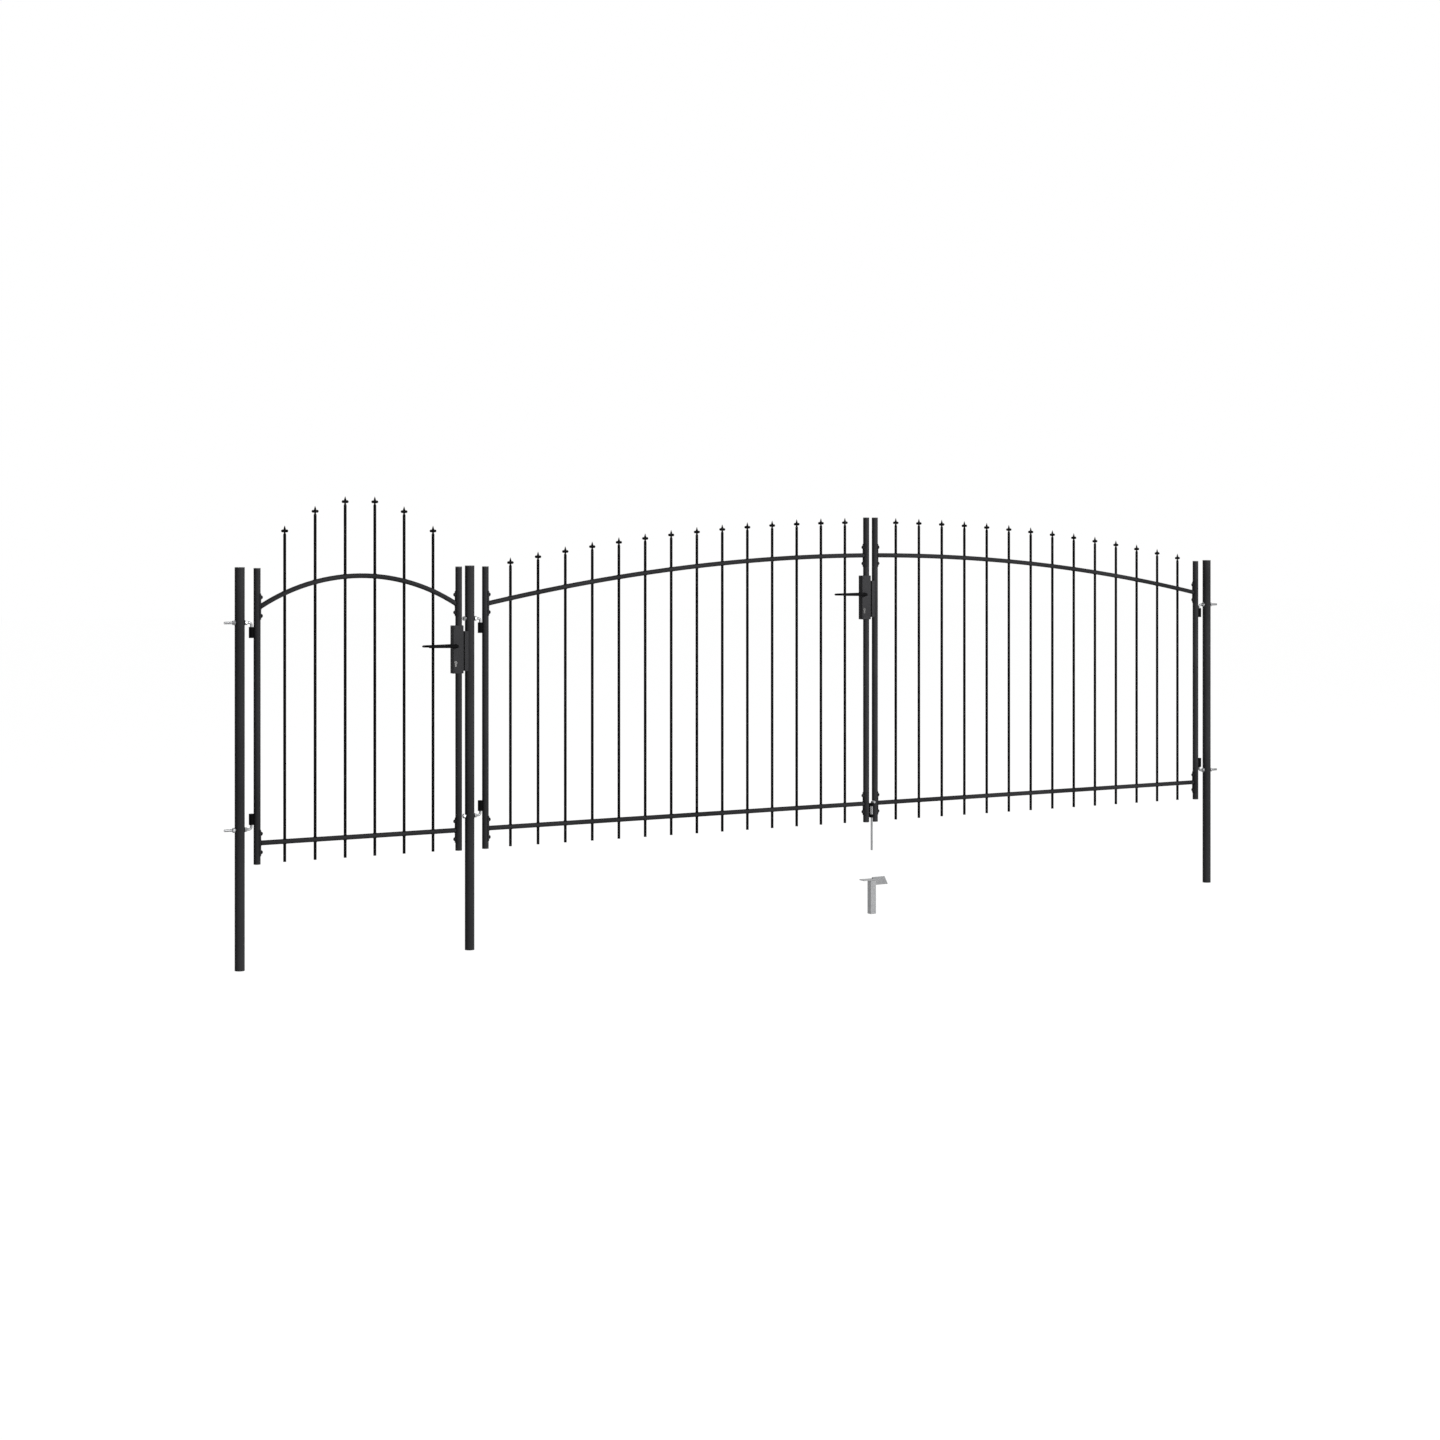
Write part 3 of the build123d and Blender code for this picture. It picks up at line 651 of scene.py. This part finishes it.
# %% Ring of weld around a rail end
SADDLE_R = STILE_R + 0.0025
clear()
bpy.ops.mesh.primitive_torus_add(major_segments=36, minor_segments=8, major_radius=0.0106,
                                 minor_radius=0.0017, rotation=(0, math.radians(90), 0))
collar = settle(bpy.context.object)
collar.name = "collar_master"
for vertex in collar.data.vertices:
    vertex.co.x += math.sqrt(SADDLE_R**2 - min(abs(vertex.co.y), 0.013) ** 2)
    vertex.co.x += 0.0003 * math.sin(13 * math.atan2(vertex.co.z, vertex.co.y))


def rail_ends(leaf):
    """Each stile with the side that the rail comes from and the rail's height there."""
    for stile_x, side in ((leaf.low_x, 1), (leaf.high_x, -1)):
        yield stile_x, side, BOTTOM_RAIL
        yield stile_x, side, leaf.rail(stile_x + side * STILE_R)


for name, leaf in leaves.items():
    beads = []
    for stile_x, side, height in rail_ends(leaf):
        facing = AS_MADE if side > 0 else about("Z", 180)
        beads += copy_to(collar, facing, [(stile_x, 0, height)])
    hand_over(join(name + "_rail_welds", beads), leaf.body, bar_black, 60)
bpy.data.objects.remove(collar)

# %% [markdown]
# ## Saddle bolts
# The saddles are bolted through the stiles, one bolt above the rail and one below, each under a low domed cap
# nut. The nut starts as a hexagonal prism on a washer. Its corners are chamfered by a bevel, and a flattened
# ball closes the end of the thread.

# %% Domed cap nut
BOLT_OFFSET = 0.037
nut = turned(0.0090, 0.0014, (0, 0, 0.0007))
nut.name = "cap_nut_master"
hexagon = turned(0.0075, 0.0044, (0, 0, 0.0033), sides=6)
select_where(hexagon, lambda f: f.normal.z > 0.9)
combine(nut, round_over(hexagon, 0.0010))
clear()
bpy.ops.mesh.primitive_uv_sphere_add(segments=24, ring_count=14, radius=0.0056, location=(0, 0, 0.0044))
dome = bpy.context.object
dome.scale = (1, 1, 0.62)
combine(nut, settle(dome))
print("cap nut stands", round(max(v.co.z for v in nut.data.vertices) * 1000, 1), "mm proud")

# %% [markdown]
# The nuts face along the rail, so each copy is turned towards its rail. The saddle is round and the washer
# flat, so the washer is let in by a third of a millimetre and no gap shows at its sides.

# %% Bolt every saddle
for name, leaf in leaves.items():
    nuts = []
    for stile_x, side, height in rail_ends(leaf):
        x = stile_x + side * (SADDLE_R - 0.0003)
        heights = (height + BOLT_OFFSET, height - BOLT_OFFSET)
        nuts += copy_to(nut, about("Y", 90 * side), [(x, 0, z) for z in heights])
    hand_over(join(name + "_saddle_nuts", nuts), leaf.body, tube_black, 30)
bpy.data.objects.remove(nut)

# %% [markdown]
# ## Hex nuts on the hinge hooks
# Each hook passes through its post between two nuts. A real nut's corners are cut back by a shallow cone.
# Keeping only what a prism and a bevelled round bar have in common gives just that edge. The washer is a thin
# round, and a bore goes through both.

# %% Nut and washer
POST_R = 0.020
NUT_CORNER = 0.017 / math.sqrt(3)
NUT_DEPTH, NUT_MIDDLE = 0.008, (0, 0, 0.0055)
hook_nut = turned(NUT_CORNER, NUT_DEPTH, NUT_MIDDLE, sides=6)
hook_nut.name = "hook_nut_master"
cone = turned(NUT_CORNER, NUT_DEPTH, NUT_MIDDLE, sides=48)
select_where(cone, lambda f: abs(f.normal.z) > 0.9)
combine(hook_nut, round_over(cone, 0.0012), "INTERSECT")
washer = soften(turned(0.0105, 0.0015, (0, 0, 0.00075), sides=48), 0.0003)
combine(hook_nut, washer)
combine(hook_nut, turned(0.00505, 0.03, sides=32), "DIFFERENCE")
print("nut faces", len(hook_nut.data.polygons))

# %% [markdown]
# Each rod has a nut on either side of its post, tightened towards each other. No two nuts end at the same
# angle, so each copy is turned a little further than the one before.

# %% Nuts on both sides of every post
HOOK_HEIGHTS = (1.382, 0.559)
SEAT_GAP = 0.0001
post_x = {name: middle(name + "_post").x for name in ("left", "middle", "right")}
nuts = []
for x in post_x.values():
    for height in HOOK_HEIGHTS:
        for side in (-1, 1):
            lay = about("Y", 90 * side) @ about("Z", (len(nuts) * 17) % 60)
            nuts += copy_to(hook_nut, lay, [(x + side * (POST_R + SEAT_GAP), 0, height)])
nuts = hand_over(join("hook_nuts", nuts), "posts", zinc, 30)
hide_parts("hinge_hook_nuts")
bpy.data.objects.remove(hook_nut)

# %% [markdown]
# ## Threads on the hooks
# The hooks' rods are threaded so that the leaf can be set level. A thread is one ridge wound round the rod,
# so a small triangle is wound up by the Screw modifier, with one and a half millimetres of rise a turn. Its
# two open ends are filled afterwards.

# %% Wind a thread
THREAD_PITCH = 0.0015
THREAD_R = 0.00490
THREAD_START = POST_R + 0.0098


def thread(length):
    clear()
    bpy.ops.mesh.primitive_circle_add(vertices=3, radius=0.00045, fill_type="NOTHING",
                                      rotation=(0, 0, math.radians(-90)))
    ridge = settle(bpy.context.object)
    ridge.rotation_euler = (math.radians(90), 0, 0)
    ridge.location = (THREAD_R, 0, 0)
    settle(ridge)
    wind = ridge.modifiers.new("wind", "SCREW")
    wind.axis = "Z"
    wind.screw_offset = THREAD_PITCH
    wind.iterations = int(length / THREAD_PITCH)
    wind.steps = 16
    wind.render_steps = 16
    apply_modifiers(ridge)
    bpy.ops.object.mode_set(mode="EDIT")
    bpy.ops.mesh.select_all(action="SELECT")
    bpy.ops.mesh.remove_doubles(threshold=0.00001)
    bpy.ops.mesh.fill_holes(sides=3)
    bpy.ops.mesh.normals_make_consistent(inside=False)
    bpy.ops.object.mode_set(mode="OBJECT")
    return ridge


long_thread, short_thread = thread(0.033), thread(0.0075)
threads = []
for name, x in post_x.items():
    pin_side = -1 if name == "right" else 1
    for height in HOOK_HEIGHTS:
        inner = (x + pin_side * THREAD_START, 0, height)
        threads += copy_to(short_thread, about("Y", 90 * pin_side), [inner])
        if name != "middle":
            outer = (x - pin_side * THREAD_START, 0, height)
            threads += copy_to(long_thread, about("Y", -90 * pin_side), [outer])
hand_over(join("hook_threads", threads), "posts", zinc, 30)
bpy.data.objects.remove(long_thread)
bpy.data.objects.remove(short_thread)

# %% [markdown]
# ## Straight weld runs
# Knuckles, guide and socket are welded along straight joints. A run of weld is a low round bar with a ripple,
# because the welder's puddle freezes in overlapping scales. The bar is cut into many short rings, and each
# ring is made a little fuller or thinner than the next.

# %% A run of weld
RING_LENGTH = 0.0008
RIPPLE_LENGTH = 0.0026
KNUCKLE_LENGTH = 0.044
HOOK_TO_KNUCKLE = 0.0175


def weld_run(length, radius):
    run = turned(radius, length, sides=10)
    bpy.ops.object.mode_set(mode="EDIT")
    rings = int(length / RING_LENGTH)
    for i in range(1, rings):
        height = -length / 2 + length * i / rings
        bpy.ops.mesh.select_all(action="SELECT")
        bpy.ops.mesh.bisect(plane_co=(0, 0, height), plane_no=(0, 0, 1))
    bpy.ops.object.mode_set(mode="OBJECT")
    for vertex in run.data.vertices:
        wave = math.sin(vertex.co.z * 2 * math.pi / RIPPLE_LENGTH)
        end = max(0.0, abs(vertex.co.z) - (length / 2 - radius)) / radius
        scale = (1 + 0.09 * wave) * math.sqrt(max(0.05, 1 - 0.9 * end**2))
        vertex.co.x *= scale
        vertex.co.y *= scale
    return run


knuckle_run = weld_run(0.041, 0.0022)
upper_middle = HOOK_HEIGHTS[0] - HOOK_TO_KNUCKLE - KNUCKLE_LENGTH / 2
lower_middle = HOOK_HEIGHTS[1] + HOOK_TO_KNUCKLE + KNUCKLE_LENGTH / 2
for name, hinge_x, pin in (("pedestrian", ped_low, -1), ("left", left_low, -1), ("right", right_high, 1)):
    runs = []
    for height in (upper_middle, lower_middle):
        for side in (-1, 1):
            place = (hinge_x + pin * 0.0141, side * 0.0047, height)
            runs += copy_to(knuckle_run, AS_MADE, [place])
    hand_over(join(name + "_knuckle_welds", runs), leaves[name].body, bar_black, 60)
bpy.data.objects.remove(knuckle_run)

# %% [markdown]
# The guide's plate meets the stile at a slant, since the bolt stands a little in front of the leaves. The
# socket's square tube is welded to the strip on three sides, tucked under the strip.

# %% Welds on guide and socket
STILE_SKIN = 0.0139
SOCKET_SKIN, SOCKET_WELD_Z = 0.0145, 0.1535
bolt_x, bolt_y = 1.9969, -0.017
slant = math.atan2(bolt_y, bolt_x - left_high)
guide_low, guide_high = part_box("drop_bolt_guide")
guide_run = weld_run(guide_high.z - guide_low.z - 0.004, 0.0014)
runs = []
for side in (-1, 1):
    x = left_high + STILE_SKIN * math.cos(slant) - side * 0.0022 * math.sin(slant)
    y = STILE_SKIN * math.sin(slant) + side * 0.0022 * math.cos(slant)
    runs += copy_to(guide_run, AS_MADE, [(x, y, (guide_low.z + guide_high.z) / 2)])
hand_over(join("guide_welds", runs), "left_leaf", bar_black, 60)
socket_run = weld_run(0.026, 0.0018)
runs = []
for side in (-1, 1):
    place = (bolt_x, bolt_y + side * SOCKET_SKIN, SOCKET_WELD_Z)
    runs += copy_to(socket_run, about("Y", 90), [place])
    if side < 0:
        place = (bolt_x + side * SOCKET_SKIN, bolt_y, SOCKET_WELD_Z)
        runs += copy_to(socket_run, about("X", 90), [place])
hand_over(join("socket_welds", runs), "posts", zinc, 60)
bpy.data.objects.remove(guide_run)
bpy.data.objects.remove(socket_run)

# %% [markdown]
# ## Levers
# A gate lever is pressed or cast with soft edges: thick at the spindle, thinner towards a rounded tip, and a
# little slimmer front to back than it is high. It is pulled out of a short oval bar, like the spear's bud, by
# extruding one end and scaling it a step at a time.

# %% Pull out a lever
ROOT = (0.0100, 0.0140)
TOWARDS_TIP = (
    (0.020, 0.0100, 0.0134), (0.025, 0.0096, 0.0124), (0.025, 0.0092, 0.0114), (0.025, 0.0088, 0.0105),
    (0.022, 0.0086, 0.0098), (0.006, 0.0082, 0.0092), (0.003, 0.0070, 0.0078), (0.002, 0.0046, 0.0052),
    (0.0008, 0.0018, 0.0020),
)
ROUND_THE_ROOT = ((0.0028, 0.0090, 0.012), (0.0014, 0.0066, 0.0082), (0.0006, 0.003, 0.004))
grip = turned(0.5, 0.002, (0.0010, 0, 0), "X", 24)
grip.scale = (1, *ROOT)
settle(grip)
for side, steps in ((-1, TOWARDS_TIP), (1, ROUND_THE_ROOT)):
    select_where(grip, lambda f: side * f.normal.x > 0.9)
    last_y, last_z = ROOT
    for step_x, size_y, size_z in steps:
        extrude((side * step_x, 0, 0), (1, size_y / last_y, size_z / last_z))
        last_y, last_z = size_y, size_z
    bpy.ops.object.mode_set(mode="OBJECT")
print("lever length mm", round((max(v.co.x for v in grip.data.vertices)
                                - min(v.co.x for v in grip.data.vertices)) * 1000, 1))

# %% [markdown]
# A turned collar stands between lever and case. One spindle goes right through the case and carries a lever
# on each face, so both levers and the spindle are one piece that turns. The lever at the back is the front
# one turned half round about its own length.

# %% Collar and spindle
LEVER_OUT = 0.033
SPINDLE = 0.021
LEVER_ABOVE_MIDDLE = 0.014
Lock = namedtuple("Lock", "stile_x lever_z leaf_body lever_body")


def lock_place(case, stile_x, leaf_body, lever_body):
    return Lock(stile_x, middle(case).z + LEVER_ABOVE_MIDDLE, leaf_body, lever_body)


collar_bar = turned(0.0090, 0.0030, (0, -0.0180, 0), "Y", 40)
select_where(collar_bar, lambda f: f.normal.y < -0.9)
for step_y, scale in ((0.0018, 0.86), (0.0025, 0.90), (0.0040, 1.0), (0.0012, 0.92)):
    extrude((0, -step_y, 0), (scale, 1, scale))
bpy.ops.object.mode_set(mode="OBJECT")
grip.location = (0, -LEVER_OUT, 0)
settle(grip)
combine(grip, collar_bar)
locks = {
    "pedestrian": lock_place("pedestrian_lock_case", ped_high, "pedestrian_leaf", "pedestrian_lever"),
    "main": lock_place("main_lock_case", left_high, "left_leaf", "main_lever"),
}
for name, lock in locks.items():
    place = (lock.stile_x - SPINDLE, 0, lock.lever_z)
    parts = copy_to(grip, AS_MADE, [place]) + copy_to(grip, UPSIDE_DOWN, [place])
    parts.append(turned(0.0050, 0.050, place, "Y"))
    levers = hand_over(join(name + "_lever_pair", parts), lock.lever_body, bar_black, 40)
    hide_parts(name + "_levers")
bpy.data.objects.remove(grip)

# %% [markdown]
# ## Key barrels
# The barrel is a round body over a narrower tail, the usual profile of a gate lock. Its front holds a turning
# plug with a slot for the key. A ring groove sets the plug off from the body, and the slot is cut right into
# it, so that it reads dark from every side.

# %% Cut the key barrel
CASE_FACE = 0.016
KEY_BELOW_LEVER = 0.068
barrel = turned(0.0065, 0.0360, along="Y", sides=40)
combine(barrel, turned(0.0040, 0.0360, (0, 0, -0.014), "Y"))
combine(barrel, block((0, 0, -0.007), (0.008, 0.036, 0.014)))
soften(barrel, 0.0004, 2, 60)
groove = turned(0.0054, 0.0400, along="Y", sides=40)
combine(groove, turned(0.0049, 0.0500, along="Y", sides=40), "DIFFERENCE")
combine(groove, turned(0.0060, 0.0348, along="Y", sides=40), "DIFFERENCE")
combine(barrel, groove, "DIFFERENCE")
for side in (-1, 1):
    combine(barrel, block((0, side * 0.0165, -0.0003), (0.0013, 0.0080, 0.0072)), "DIFFERENCE")
for name, lock in locks.items():
    place = (lock.stile_x - SPINDLE, 0, lock.lever_z - KEY_BELOW_LEVER)
    body = join(name + "_key_body", copy_to(barrel, AS_MADE, [place]))
    hand_over(body, lock.leaf_body, key_nickel, 35)
    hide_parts(name + "_key_barrel")
bpy.data.objects.remove(barrel)

# %% [markdown]
# ## Lock case details
# The case is folded from sheet and closed by screws near its hinge side. A stamped ring guides the spindle on
# each face, and a weld closes the joint where the stile enters at the top and bottom. All of these are small,
# so they are made from turned starts with bevelled rims.

# %% Slotted screw, spindle ring and stile weld
SCREW_IN, SCREW_FROM_END = 0.024, 0.011
screw = turned(0.0034, 0.0016, (0, 0, 0.0008), sides=28)
select_where(screw, lambda f: f.normal.z > 0.9)
round_over(screw, 0.0008, 3)
combine(screw, block((0, 0, 0.0016), (0.0080, 0.0009, 0.0013)), "DIFFERENCE")
spindle_ring = soften(turned(0.0125, 0.0012, (0, 0, 0.0006), sides=48), 0.0005, 2, 60)
combine(spindle_ring, turned(0.0094, 0.01, sides=48), "DIFFERENCE")
clear()
bpy.ops.mesh.primitive_torus_add(major_segments=48, minor_segments=8, major_radius=0.0141,
                                 minor_radius=0.0011)
stile_weld = settle(bpy.context.object)
for vertex in stile_weld.data.vertices:
    vertex.co.z += 0.0002 * math.sin(17 * math.atan2(vertex.co.y, vertex.co.x))
print("screw faces", len(screw.data.polygons), "ring faces", len(spindle_ring.data.polygons))

# %% [markdown]
# The screws sit near the top and bottom of each face, their slots at whatever angle they stopped. The ring
# goes where the spindle leaves the case, and the welds go round the stile where it enters.

# %% Fit them to both cases
for name, lock in locks.items():
    low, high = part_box(name + "_lock_case")
    parts = []
    for side in (-1, 1):
        outwards = about("X", -90 * side)
        slot_turned = outwards @ about("Z", 25 + 40 * side)
        for z in (low.z + SCREW_FROM_END, high.z - SCREW_FROM_END):
            parts += copy_to(screw, slot_turned, [(lock.stile_x - SCREW_IN, side * CASE_FACE, z)])
        parts += copy_to(spindle_ring, outwards, [(lock.stile_x - SPINDLE, side * CASE_FACE, lock.lever_z)])
    parts += copy_to(stile_weld, AS_MADE, [(lock.stile_x, 0, z) for z in (low.z, high.z)])
    hand_over(join(name + "_lock_trim", parts), lock.leaf_body, case_black, 35)
for master in (screw, spindle_ring, stile_weld):
    bpy.data.objects.remove(master)

# %% [markdown]
# ## Floor, light and background
# The gate is shown on plain white. The floor and the sky answer camera rays with near-white of their own, so
# the lamps can stay at a plain level and the black keeps its colour. Part of the floor's answer is its real
# lit surface, which keeps the soft shadow under the posts.

# %% Floor and sky
def seen_directly(tree):
    """One for rays that come from the lens, from a reflection or through something, else nought."""
    rays = add_node(tree, "ShaderNodeLightPath")
    total = rays.outputs["Is Camera Ray"]
    for kind in ("Is Glossy Ray", "Is Transmission Ray"):
        join_up = add_node(tree, "ShaderNodeMath", operation="ADD", use_clamp=True)
        tree.links.new(total, join_up.inputs[0])
        tree.links.new(rays.outputs[kind], join_up.inputs[1])
        total = join_up.outputs[0]
    return total


def pale_floor():
    material = bpy.data.materials.new("pale_floor")
    material.use_nodes = True
    tree = material.node_tree
    shader = tree.nodes["Principled BSDF"]
    shader.inputs["Base Color"].default_value = (0.86, 0.86, 0.86, 1)
    shader.inputs["Roughness"].default_value = 0.9
    glow = add_node(tree, "ShaderNodeEmission", Color=(1, 1, 1, 1), Strength=1.06)
    share = add_node(tree, "ShaderNodeMath", operation="MULTIPLY")
    tree.links.new(seen_directly(tree), share.inputs[0])
    share.inputs[1].default_value = 0.93
    mix = tree.nodes.new("ShaderNodeMixShader")
    tree.links.new(share.outputs[0], mix.inputs["Fac"])
    tree.links.new(shader.outputs["BSDF"], mix.inputs[1])
    tree.links.new(glow.outputs["Emission"], mix.inputs[2])
    tree.links.new(mix.outputs["Shader"], tree.nodes["Material Output"].inputs["Surface"])
    return material


bpy.ops.object.select_all(action="DESELECT")
bpy.ops.mesh.primitive_plane_add(size=80, location=(2, 0, -0.0005))
floor = bpy.context.object
floor.name = "floor"
floor.data.materials.append(pale_floor())
floor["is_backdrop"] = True

world = bpy.data.worlds.new("world")
bpy.context.scene.world = world
world.use_nodes = True
sky = world.node_tree
lit = sky.nodes["Background"]
lit.inputs["Color"].default_value = (1, 1, 1, 1)
lit.inputs["Strength"].default_value = 0.06
seen = add_node(sky, "ShaderNodeBackground", Color=(1, 1, 1, 1), Strength=1.0)
mix = sky.nodes.new("ShaderNodeMixShader")
sky.links.new(seen_directly(sky), mix.inputs["Fac"])
sky.links.new(lit.outputs["Background"], mix.inputs[1])
sky.links.new(seen.outputs["Background"], mix.inputs[2])
sky.links.new(mix.outputs["Shader"], sky.nodes["World Output"].inputs["Surface"])
bpy.context.scene.view_settings.view_transform = "Standard"
print("floor and sky ready")

# %% [markdown]
# ## Lamps
# A large soft lamp in front and a little to the right shows the roundness of the tubes as a pale band
# between dark edges, and leaves the sides that face left in shade. Weaker ones from the left and from behind
# keep the other sides from going flat.

# %% Lamps
def soft_lamp(name, place, aim, size, watts):
    data = bpy.data.lights.new(name, "AREA")
    data.shape = "RECTANGLE"
    data.size = size[0]
    data.size_y = size[1]
    data.energy = watts
    lamp = bpy.data.objects.new(name, data)
    lamp.location = place
    lamp.rotation_euler = (Vector(aim) - Vector(place)).to_track_quat("-Z", "Y").to_euler()
    bpy.context.scene.collection.objects.link(lamp)
    return lamp


soft_lamp("key_lamp", (6.0, -13.5, 6.0), (1.2, 0, 0.9), (4.0, 4.0), 2900)
soft_lamp("fill_lamp", (-6.0, -5.0, 3.0), (0.5, 0, 0.9), (3.0, 3.0), 15)
soft_lamp("back_lamp", (1.5, 6.0, 4.5), (1.5, 0, 0.9), (5.0, 2.0), 200)
print("lamps ready")

# %% [markdown]
# ## The visual box
# The dressed gate has to fill the same box as its solids, so the box of everything shown is printed.

# %% Sizes
low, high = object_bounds()
print("visual box", [round(v, 3) for v in low], [round(v, 3) for v in high])
